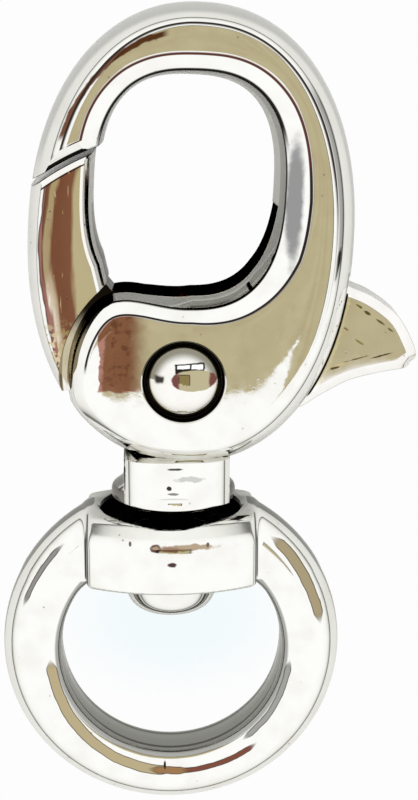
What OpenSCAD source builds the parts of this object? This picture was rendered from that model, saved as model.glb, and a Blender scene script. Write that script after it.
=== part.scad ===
// Swivel snap hook: an oval die-cast hook with a spring gate worked by a thumb tab,
// turning on a button-headed rivet in a round strap eye.
// It lies on its back: X to the thumb tab, Y along the swivel axis to the hook tip,
// Z up through the front face. The origin is the centre of the strap eye.

/* [Hook body] */
// Width of the oval body
body_w = 28; // [26:0.5:31]
// Length of the oval body along the swivel axis
body_h = 39.6; // [38:0.2:44]
// Thickness of the body from face to face
body_t = 10.4; // [9.6:0.2:12]
// Distance from the swivel axis to the middle of the oval
body_shift = 1.9; // [1:0.1:3]
// Squareness of the oval, where 2 is a true ellipse
body_square = 2.18; // [2:0.02:2.4]
// Lean of the oval and of its opening toward the thumb tab, in degrees
lean = 3; // [0:0.5:5]
// Width of the rounding along the outer edge
edge_round = 2.6; // [2:0.1:3]
// Rise of the front face from its rim to its middle
crown = 0.15; // [0:0.05:0.3]

/* [Opening] */
// Width of the opening between its front edges
opening_w = 16.4; // [14:0.2:17]
// Height of the opening between its front edges
opening_h = 20.2; // [18:0.2:21]
// Height of the opening's middle above the middle of the oval
opening_up = 4.5; // [4:0.1:5.5]
// Distance from the swivel axis to the opening's middle
opening_shift = 1.55; // [1:0.05:2.2]
// Squareness of the opening, where 2 is a true ellipse
opening_square = 2.6; // [2:0.1:3]
// Width of the bevel along the edge of the opening
bevel_w = 1.65; // [1:0.05:2]
// Depth of that bevel
bevel_h = 0.75; // [0.4:0.05:1]
// How far the hook's inner wall bulges past its front edge
bulge = 0.75; // [0.3:0.05:1]

/* [Gate and lever] */
// Distance from the swivel axis to the gate's pivot
pivot_x = 1.1; // [0.5:0.1:2]
// Height of the pivot above the lowest point of the oval
pivot_up = 8.1; // [7.6:0.1:9]
// Radius of the cheeks round the pivot, at their widest
cheek_r = 10.4; // [9.8:0.1:11]
// Gap between the cheeks and the end of the gate
gate_gap = 0.25; // [0.2:0.05:0.4]
// Distance from the pivot to the round joint between the gate's nose and the hook's tip
gate_len = 21.05; // [20.8:0.05:21.3]
// Gap in that joint
nose_gap = 0.55; // [0.4:0.05:0.8]
// Width of the bevel on the face of the gate's nose
nose_bevel = 0.7; // [0.4:0.1:1]
// How far the gate's inner wall bulges past its front edge
gate_bulge = 0.25; // [0.1:0.05:0.5]
// Width of the slot between the cheeks
slot_w = 5.2; // [4.6:0.1:5.6]
// Gap on each side of the lever in its slot
lever_gap = 0.3; // [0.2:0.05:0.4]
// Radius of the lever's hub
hub_r = 5.6; // [5:0.1:5.8]
// Radius of the slot round the pivot, where the lever swings
slot_r = 16.7; // [16.4:0.1:17]
// Distance from the pivot to the tip of the thumb tab
tab_len = 20.4; // [19:0.1:22]
// Angle the gate swings open, in degrees
gate_swing = 24; // [20:1:25]

/* [Gate rivet and spring] */
// Diameter of the rivet's shank
pin_d = 3; // [2.6:0.1:3.2]
// Diameter of its domed heads
pin_head_d = 6.4; // [5.6:0.1:6.8]
// Height of a dome above its seat
pin_head_h = 1.6; // [1.2:0.1:1.8]
// Diameter of the round recess that each dome sits in
recess_d = 8; // [7.4:0.1:8.4]
// Depth of that recess below the face
recess_h = 0.9; // [0.6:0.1:1.2]
// Diameter of the spring wire
wire_d = 0.5; // [0.4:0.05:0.6]
// Mean radius of the spring's coil
coil_r = 2.5; // [2.3:0.1:2.7]
// Full turns of the coil
coil_turns = 3; // [2:1:4]

/* [Neck and swivel rivet] */
// Diameter of the collar that faces the eye
collar_d = 11; // [10:0.2:12]
// Height of the collar
collar_h = 1.7; // [1.2:0.1:2]
// Height of the neck and collar together, up to the oval
neck_h = 3.5; // [3:0.1:5]
// Width of the neck across its two flats
neck_w = 9.2; // [8:0.2:10]
// Play between the collar and the eye's boss
swivel_gap = 0.6; // [0.3:0.05:0.8]
// Diameter of the swivel rivet's stem
stem_d = 4; // [3.4:0.1:4.4]
// Diameter of its button head
button_d = 8.3; // [7.4:0.1:9]
// Height of the button head
button_h = 3.7; // [3:0.1:4]

/* [Strap eye] */
// Inner width of the eye, for the strap
eye_w = 20; // [18:0.5:24]
// Width of the ring's band, inside to outside
ring_band = 5.3; // [4.6:0.1:6]
// Thickness of the ring
ring_t = 5.2; // [4.6:0.1:5.6]
// Height of the crossbar's lower edge above the eye's centre
bar_up = 7; // [6.6:0.1:7.4]
// Height of the crossbar
bar_h = 5.6; // [5.2:0.1:6]
// Width of the boss in the crossbar
boss_w = 14.9; // [13.6:0.1:16]
// Thickness of the boss at its middle
boss_t = 14.8; // [13.4:0.2:16]
// Height of the boss
boss_h = 6.2; // [5.8:0.1:6.6]
// Diameter of the round recess in the boss
cup_d = 12.2; // [11:0.1:12.6]
// Depth of that recess
cup_h = 2.6; // [2:0.1:3]

/* [Hidden] */
$fn = 96;

// Radial clearance of a pin in the bore it turns in, and in the bore it is pressed in
turn_fit = 0.06;
press_fit = 0.01;
// Play of the button head under the boss
button_gap = 0.1;
// Overshoot of a cut past the face it opens
over = 1;

// Stack along the swivel axis, from the eye's centre to the hook
boss_y = bar_up;
boss_top = boss_y + boss_h;
collar_y = boss_top + swivel_gap;
body_y = collar_y + neck_h;
body_mid = [body_shift, body_y + body_h / 2];
opening_mid = [opening_shift, body_mid.y + opening_up];
pivot = [pivot_x, body_y + pivot_up];

// Heights above the middle plane
face_z = body_t / 2 - crown;
edge_z = face_z - bevel_h;
slot_z = slot_w / 2;
lever_z = slot_z - lever_gap;
seat_z = body_t / 2 - recess_h;

// Outlines

function signed_pow(v, p) = sign(v) * pow(abs(v), p);

// Point at angle a on a squared oval that leans to the right
function oval(mid, w, h, square, a) =
    let (x = w / 2 * signed_pow(cos(a), 2 / square), y = h / 2 * signed_pow(sin(a), 2 / square))
    mid + [cos(lean) * x + sin(lean) * y, cos(lean) * y - sin(lean) * x];

function body_edge(a) = oval(body_mid, body_w, body_h, body_square, a);
function opening_edge(a) = oval(opening_mid, opening_w, opening_h, opening_square, a);

function polar(mid, r, a) = mid + r * [cos(a), sin(a)];
function unit(v) = v / norm(v);
function left_of(v) = [-v.y, v.x];

// Point at t on a curve that leaves a toward b and reaches d from c
function curve(a, b, c, d, t) =
    pow(1 - t, 3) * a + 3 * t * pow(1 - t, 2) * b + 3 * t * t * (1 - t) * c + t * t * t * d;

// Angles on the ovals past which the hook's tip and the gate's nose are cut, where the opening
// turns into the wave of the cheek, and between which the round end of the cheek lies
tip_a = 173;
nose_a = 160;
wave_a = -88;
foot_a = -108;
cheek_a = -168;
// Share of the stations that lie on the oval part of the hook
oval_share = 0.76;
// Clear gap round the cheek in the gate's foot, its blend into the oval, and reach of its wave
cheek_play = 0.15;
cheek_blend = 0.5;
wave_reach = 4.4;

// Rim of the cheek's round end at the middle plane: the oval, where it comes farther from the
// pivot than the cheek's radius, is drawn in to that radius
function blend_min(a, b, k) = min(a, b) - pow(max(k - abs(a - b), 0), 2) / (4 * k);
function cheek_rim(a, inset) =
    let (v = body_edge(a) - pivot)
    pivot + unit(v) * (blend_min(norm(v), cheek_r - cheek_play, cheek_blend) - inset);

// Edge of the opening and of the cheek's wave, from the hook tip to the cheek's round end
function hook_inner(s) =
    s <= oval_share ? opening_edge(tip_a + (wave_a - tip_a) * s / oval_share) :
    let (start = opening_edge(wave_a), top = cheek_rim(cheek_a, bulge), way = -left_of(unit(top - pivot)))
    curve(start, start - [wave_reach * 0.8, 0], top + wave_reach * way, top, (s - oval_share) / (1 - oval_share));

function hook_outer(s) =
    s <= oval_share ? body_edge(tip_a + (wave_a - tip_a) * s / oval_share) :
    body_edge(wave_a + (foot_a - wave_a) * (s - oval_share) / (1 - oval_share));

// The gate follows the same two edges up to its nose. Its foot starts in under the cheeks,
// where it is cut round
gate_foot_a = 214;
gate_end_a = 232;
foot_share = 0.3;
function gate_inner(s) =
    s >= foot_share ? opening_edge(gate_foot_a + (nose_a - gate_foot_a) * (s - foot_share) / (1 - foot_share)) :
    opening_edge(gate_foot_a) * s / foot_share + polar(pivot, cheek_r / 2, 165) * (1 - s / foot_share);
function gate_outer(s) = body_edge(gate_end_a + (nose_a - gate_end_a) * s);

// Upper and lower edge of the thumb tab, from inside the slot to its tip
tab_tip = pivot + [tab_len, 1.6];
tab_root_top = pivot + [11, 9.4];
tab_root_low = pivot + [4.4, -2.8];
function tab_upper(s) = curve(tab_root_top, tab_root_top + [3.6, -0.6], tab_tip + [-2, 4.7], tab_tip, s);
function tab_lower(s) =
    curve(tab_root_low, tab_root_low + [6, 0], tab_tip + [-5.2, -2.2], tab_tip - [0.75, 1.1], s);

// Bands: solids between an inner and an outer edge, with the section given as rows

// Each row is [edge, inset, z]: 0 for the inner edge and 1 for the outer one, the distance
// into the material from that edge, and the height above the middle plane
function mirrored(rows) =
    concat(rows, [for (i = [len(rows) - 1 : -1 : 0]) if (rows[i].z > 0) [rows[i].x, rows[i].y, -rows[i].z]]);

function wall_rows(wall_bulge) = concat(
    [for (q = [0, 0.34, 0.67, 1]) [0, -wall_bulge * (1 - q * q), edge_z * q]],
    [[0, bevel_w, face_z]]);

round_rows = [for (a = [90, 66, 42, 20, 0]) [1, edge_round * (1 - cos(a)), face_z * sin(a)]];

function cast_rows(wall_bulge) = mirrored(concat(wall_rows(wall_bulge), [[0.5, 0, body_t / 2]], round_rows));

function tab_rows(z, bevel) = [
    [0, bevel, z], [1, bevel, z], [1, 0, z - bevel], [1, 0, bevel - z],
    [1, bevel, -z], [0, bevel, -z], [0, 0, bevel - z], [0, 0, z - bevel]];

// Points of one station: the inner edge point p with its tangent, and the outer one q. Where
// the band is narrower than full, the rows close up and the section gets lower
function station(p, p_way, q, q_way, rows, full) =
    let (k = min(1, norm(q - p) / full), low = sqrt(1 - pow(1 - k, 2)))
    let (p_in = unit(left_of(p_way)), q_in = -unit(left_of(q_way)))
    [for (i = [len(rows) - 1 : -1 : 0])
        let (r = rows[i], flat = r.x == 0 ? p + p_in * r.y * k : r.x == 1 ? q + q_in * r.y * k : (p + q) / 2)
        [flat.x, flat.y, r.z * low]];

// Faces of a band of stations that each have n points
function band_sides(stations, n) =
    [for (i = [0 : stations - 2], j = [0 : n - 1], half = [0, 1])
        let (a = i * n + j, b = i * n + (j + 1) % n)
        half == 0 ? [a, a + n, b] : [b, a + n, b + n]];
function first_end(n) = [for (j = [0 : n - 1]) j];
function band_faces(stations, n) =
    concat(band_sides(stations, n), [first_end(n)], [[for (j = [n - 1 : -1 : 0]) (stations - 1) * n + j]]);

// Solid band: inner and outer hold the edge points, full is the width that the rows need
module band(inner, outer, rows, full) {
    last = len(inner) - 1;
    points = [for (i = [0 : last])
        let (lo = max(i - 1, 0), hi = min(i + 1, last))
        each station(inner[i], inner[hi] - inner[lo], outer[i], outer[hi] - outer[lo], rows, full)];
    polyhedron(points, band_faces(last + 1, len(rows)), convexity = 8);
}

// Band of the hook with the cheek's round end. That end is a fan of sections about the middle of
// the last station, and its rim turns from the rounding of the oval into the cheek's bevel and wall
module cheeked_band(inner, outer) {
    rows = cast_rows(bulge);
    n = len(rows);
    last = len(inner) - 1;
    steps = 26;
    turn_from = 0.05;
    turn_to = 0.45;
    round_rim = mirrored(round_rows);
    wall = wall_rows(bulge);
    wall_rim = mirrored([for (i = [len(wall) - 1 : -1 : 0]) wall[i]]);
    m = len(round_rim);
    band_points = [for (i = [0 : last])
        let (lo = max(i - 1, 0), hi = min(i + 1, last))
        each station(inner[i], inner[hi] - inner[lo], outer[i], outer[hi] - outer[lo], rows,
            edge_round + bevel_w + 0.2)];
    rim_points = [for (i = [1 : steps - 1])
        let (a = foot_a + (cheek_a - foot_a) * i / steps, p = cheek_rim(a, 0))
        let (p_in = -unit(left_of(cheek_rim(a - 1, 0) - cheek_rim(a + 1, 0))))
        let (t = min(1, max(0, (i / steps - turn_from) / (turn_to - turn_from))), w = t * t * (3 - 2 * t))
        for (j = [0 : m - 1])
            let (q = p + p_in * ((1 - w) * round_rim[j].y + w * (wall_rim[j].y + bulge)))
            [q.x, q.y, (1 - w) * round_rim[j].z + w * wall_rim[j].z]];
    // Number of the point in row j of the fan's section i, where the first and the last section
    // are the outer and the inner half of the band's last station
    function at(i, j) =
        i == 0 ? last * n + (n + m - 3) / 2 - j :
        i == steps ? last * n + (n - (m - 1) / 2 - 1 + j) % n :
        len(band_points) + (i - 1) * m + j;
    crown_top = at(0, 0) + 1;
    crown_low = at(0, m - 1) - 1;
    fan = concat(
        [for (i = [0 : steps - 1], j = [0 : m - 2], half = [0, 1])
            half == 0 ? [at(i, j + 1), at(i + 1, j + 1), at(i, j)] : [at(i, j), at(i + 1, j + 1), at(i + 1, j)]],
        [for (i = [0 : steps - 1]) [at(i, 0), at(i + 1, 0), crown_top]],
        [for (i = [0 : steps - 1]) [at(i, m - 1), crown_low, at(i + 1, m - 1)]]);
    polyhedron(concat(band_points, rim_points), concat(band_sides(last + 1, n), [first_end(n)], fan),
        convexity = 8);
}

// Shared cuts

// Slot between the cheeks, seen from the front: the lever's swing and the hub's seat
hub_seat_r = hub_r + 0.3;
module slot_outline() {
    circle(hub_seat_r);
    difference() {
        circle(slot_r);
        polygon([[0, 0], polar([0, 0], 40, 186), polar([0, 0], 60, 240), polar([0, 0], 50, -60),
            polar([0, 0], 1.2 * slot_r, -6.5 - gate_swing), polar([0, 0], hub_r - 0.4, -36 - gate_swing)]);
    }
}

// Sub-parts

module hook_body() {
    stations = 104;
    inner = [for (i = [0 : stations]) hook_inner(i / stations)];
    outer = [for (i = [0 : stations]) hook_outer(i / stations)];
    color("silver")
        difference() {
            union() {
                difference() {
                    cheeked_band(inner, outer);
                    translate([pivot.x, pivot.y, -slot_z])
                        linear_extrude(slot_w)
                            slot_outline();
                }
                neck();
            }
            translate([pivot.x, pivot.y, -body_t])
                cylinder(d = pin_d + 2 * press_fit, h = 2 * body_t);
            for (side = [-1, 1])
                translate([pivot.x, pivot.y, side * seat_z])
                    rotate([side < 0 ? 180 : 0, 0, 0])
                        rivet_recess();
            swivel_bore();
            translate([pivot.x, pivot.y, 0])
                tip_cut(gate_len + nose_gap / 2);
        }
}

// Round cut of radius r at the hook's tip, about the pivot
module tip_cut(r) {
    linear_extrude(2 * body_t, center = true)
        intersection() {
            circle(r);
            polygon([polar([0, 0], 0.8 * r, 95), polar([0, 0], 2 * r, 95),
                polar([0, 0], 2 * r, 145), polar([0, 0], 0.8 * r, 145)]);
        }
}

// Recess with a bevelled rim, opening along +Z
module rivet_recess() {
    rim = 0.35;
    rotate_extrude()
        polygon([[0, 0], [recess_d / 2 - 0.1, 0], [recess_d / 2, recess_h - rim],
            [recess_d / 2 + rim + 1, recess_h + 1], [0, recess_h + 1]]);
}

// Collar and neck, round about the swivel axis, the neck with a flat on each side
module neck() {
    neck_top = body_y + 1.1;
    collar_edge = 0.5;
    rotate([-90, 0, 0])
        rotate_extrude()
            polygon([[0, collar_y], [collar_d / 2 - collar_edge, collar_y],
                [collar_d / 2, collar_y + collar_edge], [collar_d / 2, collar_y + collar_h * 0.7],
                [neck_w / 2 - 0.2, collar_y + collar_h], [0, collar_y + collar_h]]);
    intersection() {
        rotate([-90, 0, 0])
            translate([0, 0, collar_y + collar_edge])
                cylinder(d = collar_d, h = neck_top - collar_y - collar_edge);
        translate([-neck_w / 2, collar_y, -body_t])
            cube([neck_w, neck_top, 2 * body_t]);
    }
}

// Bore for the swivel rivet's stem, countersunk in the floor of the hub's seat
flare_y = pivot.y - hub_r - 1.4;
flare_h = 0.9;
flare_r = stem_d / 2 + 0.6;
module swivel_bore() {
    r = stem_d / 2 + press_fit;
    rotate([-90, 0, 0])
        rotate_extrude()
            polygon([[0, collar_y - over], [r, collar_y - over], [r, flare_y],
                [flare_r + press_fit, flare_y + flare_h], [flare_r + press_fit, pivot.y - hub_r + over],
                [0, pivot.y - hub_r + over]]);
}

module gate_lever() {
    stations = 34;
    foot_r = cheek_r + gate_gap;
    inner = [for (i = [0 : stations]) gate_inner(i / stations)];
    outer = [for (i = [0 : stations]) gate_outer(i / stations)];
    color("gainsboro")
        difference() {
            union() {
                difference() {
                    intersection() {
                        band(inner, outer, cast_rows(gate_bulge), edge_round + bevel_w + 0.2);
                        translate([pivot.x, pivot.y, 0])
                            nose_round(gate_len - nose_gap / 2);
                    }
                    translate([pivot.x, pivot.y, -body_t])
                        cylinder(r = foot_r, h = 2 * body_t);
                }
                translate([pivot.x, pivot.y, -lever_z])
                    linear_extrude(2 * lever_z)
                        lever_outline(foot_r + 0.8);
                thumb_tab();
            }
            translate([pivot.x, pivot.y, -body_t])
                cylinder(d = pin_d + 2 * turn_fit, h = 2 * body_t);
            translate([pivot.x, pivot.y, -lever_z])
                spring_pocket();
        }
}

// Form of the gate's nose about the pivot: round, of radius r, with a cone toward both faces
module nose_round(r) {
    top = body_t;
    rim = r - nose_bevel * (top - edge_z) / bevel_h;
    rotate_extrude()
        polygon([[0, -top], [rim, -top], [r, -edge_z], [r, edge_z], [rim, top], [0, top]]);
}

// Hub and the arm that carries the gate, seen from the front about the pivot
module lever_outline(arm_r) {
    circle(hub_r);
    intersection() {
        circle(arm_r);
        polygon([[0, 0], polar([0, 0], 40, 129), polar([0, 0], 40, 148), polar([0, 0], 40, 166)]);
    }
}

// Thumb tab: thinner than the slot and bevelled all round
module thumb_tab() {
    steps = 20;
    upper = [for (i = [0 : steps]) tab_upper(i / steps)];
    lower = [for (i = [0 : steps]) tab_lower(i / steps)];
    band(lower, upper, tab_rows(lever_z, 0.9), 2.4);
}

// Pocket for the spring: round about the shank, with a notch for the inner leg and a window
// that lets the outer leg stand still while the lever swings
pocket_r = coil_r + wire_d / 2 + 0.35;
pocket_h = coil_turns * wire_d * 1.25 + wire_d + 0.4;
inner_leg = 3.6;
module spring_pocket() {
    translate([0, 0, -over]) {
        cylinder(r = pocket_r, h = pocket_h + over);
        translate([0, -coil_r - wire_d / 2 - 0.2, 0])
            cube([inner_leg + 0.5, wire_d + 0.4, pocket_h + over]);
        linear_extrude(wire_d * 2 + 0.2 + over)
            polygon([[0, 0], polar([0, 0], 12, 202), polar([0, 0], 14, 222 + gate_swing / 2),
                polar([0, 0], 12, 242 + gate_swing)]);
    }
}

module gate_rivet() {
    color("whitesmoke")
        translate([pivot.x, pivot.y, 0]) {
            cylinder(d = pin_d, h = 2 * seat_z, center = true);
            for (side = [-1, 1])
                rotate([side < 0 ? 180 : 0, 0, 0])
                    translate([0, 0, seat_z])
                        dome(pin_head_d / 2, pin_head_h, 0.25);
        }
}

// Domed head with a short straight rim, standing on z = 0
module dome(r, h, rim) {
    ball = (r * r + (h - rim) * (h - rim)) / (2 * (h - rim));
    rotate_extrude()
        intersection() {
            square([r, h]);
            translate([0, h - ball])
                circle(ball);
        }
}

// Torsion spring round the shank: three close turns and two straight legs
module gate_spring() {
    sides = 8;
    per_turn = 20;
    pitch = wire_d * 1.25;
    low_z = -lever_z + wire_d / 2 + 0.15;
    outer_leg = sqrt(pow(hub_seat_r, 2) - pow(coil_r + wire_d / 2, 2)) - 0.1;
    turns = [for (i = [0 : coil_turns * per_turn])
        [each polar([0, 0], coil_r, 270 + 360 * i / per_turn), low_z + pitch * i / per_turn]];
    top = turns[len(turns) - 1];
    path = concat([[-outer_leg, -coil_r, low_z]], turns, [top + [inner_leg, 0, 0]]);
    color("dimgray")
        translate([pivot.x, pivot.y, 0])
            wire(path, wire_d / 2, sides);
}

// Round wire swept along a path that stays near level
module wire(path, r, sides) {
    last = len(path) - 1;
    points = [for (i = [0 : last])
        let (way = unit(path[min(i + 1, last)] - path[max(i - 1, 0)]))
        let (across = unit(cross([0, 0, 1], way)), up = cross(way, across))
        for (k = [0 : sides - 1])
            path[i] + r * (cos(360 * k / sides) * across + sin(360 * k / sides) * up)];
    polyhedron(points, band_faces(last + 1, sides), convexity = 8);
}

// Button head under the eye's boss, stem up through it, and the end peened in the hub's seat
module swivel_rivet() {
    color("silver")
        rotate([-90, 0, 0]) {
            translate([0, 0, boss_y - button_gap])
                rotate([180, 0, 0])
                    dome(button_d / 2, button_h, 0.9);
            translate([0, 0, boss_y - over])
                cylinder(d = stem_d, h = flare_y - boss_y + over);
            translate([0, 0, flare_y])
                cylinder(r1 = stem_d / 2, r2 = flare_r, h = flare_h);
        }
}

module swivel_eye() {
    color("lightgray")
        difference() {
            union() {
                ring();
                crossbar();
                boss();
            }
            translate([0, boss_y, 0])
                rotate([-90, 0, 0]) {
                    translate([0, 0, -over])
                        cylinder(d = stem_d + 2 * turn_fit, h = boss_h + 2 * over);
                    cup();
                }
        }
}

// Ring, half round outside and nearly flat inside, left open above the middle of the crossbar
ring_bow = ring_t / 2;
ring_mid = eye_w / 2 + ring_band - ring_bow;
module ring() {
    inner = eye_w / 2;
    flat = ring_t * 0.3;
    difference() {
        rotate_extrude() {
            translate([ring_mid, 0])
                circle(ring_bow);
            polygon([[inner, -flat], [inner, flat], [inner + 0.6, ring_t * 0.44], [ring_mid, ring_bow],
                [ring_mid, -ring_bow], [inner + 0.6, -ring_t * 0.44]]);
        }
        translate([-2 * eye_w, bar_up + bar_h / 2, -ring_t])
            cube([4 * eye_w, eye_w, 2 * ring_t]);
    }
}

// Bar with rounded corners across the ring, kept inside the ring's outer form
module crossbar() {
    bar_t = ring_t - 0.1;
    corner = 1.5;
    half = [bar_t / 2 - corner, bar_h / 2 - corner];
    intersection() {
        translate([-ring_mid - ring_bow, bar_up + bar_h / 2, 0])
            rotate([0, 90, 0])
                linear_extrude(2 * (ring_mid + ring_bow)) {
                    square([bar_t - 2 * corner, bar_h], center = true);
                    square([bar_t, bar_h - 2 * corner], center = true);
                    for (x = [-1, 1], y = [-1, 1])
                        translate([x * half.x, y * half.y])
                            circle(corner);
                }
        rotate_extrude() {
            translate([0, -bar_t])
                square([ring_mid, 2 * bar_t]);
            translate([ring_mid, 0])
                circle(ring_bow - 0.03);
        }
    }
}

// Boss: two shallow arcs and two flats in plan, with bevelled ends
module boss() {
    sag = boss_t / 2 - boss_w * 0.36;
    arc_r = (boss_w * boss_w / 4 + sag * sag) / (2 * sag);
    intersection() {
        translate([0, boss_y, 0])
            rotate([-90, 0, 0])
                linear_extrude(boss_h)
                    intersection() {
                        square([boss_w, boss_t + over], center = true);
                        translate([0, boss_t / 2 - arc_r])
                            circle(arc_r);
                        translate([0, arc_r - boss_t / 2])
                            circle(arc_r);
                    }
        rotate([-90, 0, 0])
            rotate_extrude()
                polygon([[0, boss_y], [boss_t / 2 - 0.4, boss_y], [boss_t / 2, boss_y + 0.4],
                    [boss_t / 2 + 4, boss_y + 0.4], [boss_t / 2 + 4, boss_top - 2.6],
                    [boss_t / 2 - 0.9, boss_top], [0, boss_top]]);
    }
}

// Round recess in the top of the boss
module cup() {
    translate([0, 0, boss_h - cup_h])
        rotate_extrude()
            polygon([[0, 0], [cup_d / 2 - 0.3, 0], [cup_d / 2, 0.3], [cup_d / 2, cup_h - 0.4],
                [cup_d / 2 + 0.4, cup_h], [cup_d / 2 + 0.4, cup_h + over], [0, cup_h + over]]);
}

hook_body();
gate_lever();
gate_rivet();
gate_spring();
swivel_rivet();
swivel_eye();
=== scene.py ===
"""Swivel snap hook, dressed for the render: bright plate over die-cast metal, under a white
light tent that has one tan card above the hook."""
import math

import bmesh
import bpy
import numpy as np
from mathutils import Matrix, Vector


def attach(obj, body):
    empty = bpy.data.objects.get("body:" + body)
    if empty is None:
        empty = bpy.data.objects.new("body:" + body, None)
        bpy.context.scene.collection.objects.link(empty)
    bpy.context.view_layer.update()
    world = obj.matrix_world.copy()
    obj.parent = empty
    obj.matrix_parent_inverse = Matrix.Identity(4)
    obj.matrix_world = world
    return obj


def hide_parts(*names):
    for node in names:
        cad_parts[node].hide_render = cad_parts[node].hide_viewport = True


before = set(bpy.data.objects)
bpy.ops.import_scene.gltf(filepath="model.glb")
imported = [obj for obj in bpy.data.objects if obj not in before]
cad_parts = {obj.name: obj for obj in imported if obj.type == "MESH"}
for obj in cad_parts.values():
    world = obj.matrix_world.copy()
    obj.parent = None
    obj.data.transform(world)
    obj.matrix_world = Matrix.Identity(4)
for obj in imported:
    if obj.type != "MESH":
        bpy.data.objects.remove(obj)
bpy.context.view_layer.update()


# Hook: an oval with two cheeks, a neck and a round collar, die-cast in zinc as one piece and
# plated bright. A slot through it takes the gate's hub. The bevel along the opening is wide on
# the right and narrow in the valley above the rivet. Sizes are millimetres, as in the CAD part.
MM = 0.001
LEAN = math.radians(3)
BODY = dict(mid=(1.9, 37.1), w=28.0, h=39.59, square=2.18)
OPENING = dict(mid=(1.55, 41.6), w=16.4, h=20.2, square=2.6)
PIVOT = np.array([1.1, 25.4])
BODY_T = 10.4
CROWN = 0.15
FACE_Z = BODY_T / 2 - CROWN
FACE_RISE = 0.02
BEVEL_Z = 0.75
EDGE_Z = FACE_Z - BEVEL_Z
EDGE_ROUND = 2.6
BULGE = 0.75
CHEEK_R = 10.4
FOOT_A, CHEEK_A, WAVE_A, TIP_A = -108, -168, -88, 173
SLOT_Z = 2.6
SLOT_R = 16.7
SLOT_A = 193
HUB_R = 5.6
SWING = 24
JOINT_R = 21.05
TIP_BEVEL = 1.1
SEAT_Z = 4.3
RECESS_R = 3.42
NECK_SHIFT, COLLAR_SHIFT = 0.5, 0.25


def oval(mid, w, h, square, a):
    """Point at angle a, in degrees, on a squared oval that leans to the right."""
    c, s = math.cos(math.radians(a)), math.sin(math.radians(a))
    x = w / 2 * math.copysign(abs(c) ** (2 / square), c)
    y = h / 2 * math.copysign(abs(s) ** (2 / square), s)
    return np.array([mid[0] + math.cos(LEAN) * x + math.sin(LEAN) * y,
                     mid[1] + math.cos(LEAN) * y - math.sin(LEAN) * x])


def body_edge(a):
    return oval(**BODY, a=a)


def opening_edge(a):
    return oval(**OPENING, a=a)


def polar(mid, r, a):
    return np.asarray(mid) + r * np.array([math.cos(math.radians(a)), math.sin(math.radians(a))])


def curve(a, b, c, d, t):
    """Point at t on a curve that leaves a toward b and reaches d from c."""
    a, b, c, d = (np.asarray(p, float) for p in (a, b, c, d))
    return (1 - t) ** 3 * a + 3 * t * (1 - t) ** 2 * b + 3 * t * t * (1 - t) * c + t ** 3 * d


def smooth(t):
    t = min(1.0, max(0.0, t))
    return t * t * (3 - 2 * t)


def inward(path):
    """Unit normals of a path of (n, 2) points, to the right of its way."""
    way = np.gradient(path, axis=0)
    way /= np.linalg.norm(way, axis=1, keepdims=True)
    return np.stack([way[:, 1], -way[:, 0]], axis=1)


def cheek_rim(a, inset):
    """Point on the round edge of the cheek, in the direction of the body's edge at angle a."""
    v = body_edge(a) - PIVOT
    r = np.linalg.norm(v)
    top = CHEEK_R - 0.15
    blended = min(r, top) - max(0.5 - abs(r - top), 0) ** 2 / 2
    return PIVOT + v / r * (blended - inset)


def hook_paths(stations=420, oval_part=0.76):
    """Inner and outer edge of the face, from the tip round to the valley above the rivet."""
    start, top = opening_edge(WAVE_A), cheek_rim(CHEEK_A, BULGE)
    up = (top - PIVOT) / np.linalg.norm(top - PIVOT)
    way = np.array([up[1], -up[0]])
    inner, outer = [], []
    for s in np.linspace(0, 1, stations):
        if s <= oval_part:
            a = TIP_A + (WAVE_A - TIP_A) * s / oval_part
            inner.append(opening_edge(a))
            outer.append(body_edge(a))
        else:
            t = (s - oval_part) / (1 - oval_part)
            inner.append(curve(start, start - (3.52, 0), top + 4.4 * way, top, t))
            outer.append(body_edge(WAVE_A + (FOOT_A - WAVE_A) * t))
    return np.array(inner), np.array(outer)


def by_direction(path, *pairs):
    """A width along a path, from pairs of a direction from the opening's middle and a width."""
    x, y = OPENING["mid"]
    a = np.degrees(np.arctan2(path[:, 1] - y, path[:, 0] - x))
    at, widths = zip(*pairs)
    return np.interp(a, at, widths)


def wall_rim(bulge, bevel):
    """(inset, height) from the face over the bevel and down the wall to the middle plane."""
    edge = np.array([0.0, EDGE_Z])
    face = np.array([bevel, FACE_Z])
    slope = (edge - face) / np.linalg.norm(edge - face)
    rows = []
    for corner, start, end in (
            (face, face + (0.22, 0.0), face + 0.22 * slope),
            (edge, edge - 0.13 * slope, np.array([-bulge * 0.06, EDGE_Z - 0.13]))):
        for t in np.linspace(0, 1, 5):
            rows.append((1 - t) ** 2 * start + 2 * t * (1 - t) * corner + t * t * end)
    for q in np.linspace(0.93, 0, 8)[1:]:
        rows.append(np.array([-bulge * (1 - q * q), EDGE_Z * q]))
    return np.array(rows)


def round_rim(width=EDGE_ROUND):
    """(inset, height) from the face round the outer edge to the middle plane."""
    a = np.radians(np.linspace(90, 0, len(wall_rim(0, 1))))
    return np.stack([width * (1 - np.cos(a)), FACE_Z * np.sin(a)], axis=1)


def half_section(centre, start, normal, rim, face_rows=7):
    """Points from the middle of the upper face over the rim to the middle of the lower face."""
    first = start + normal * rim[0, 0]
    rows = []
    for w in np.linspace(0, 1, face_rows + 1)[:-1]:
        xy = centre + (first - centre) * w
        rows.append((xy[0], xy[1], rim[0, 1] + FACE_RISE * (1 - w * w)))
    for inset, z in rim:
        xy = start + normal * inset
        rows.append((xy[0], xy[1], z))
    return np.array(rows + [(x, y, -z) for x, y, z in reversed(rows[:-1])])


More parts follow.
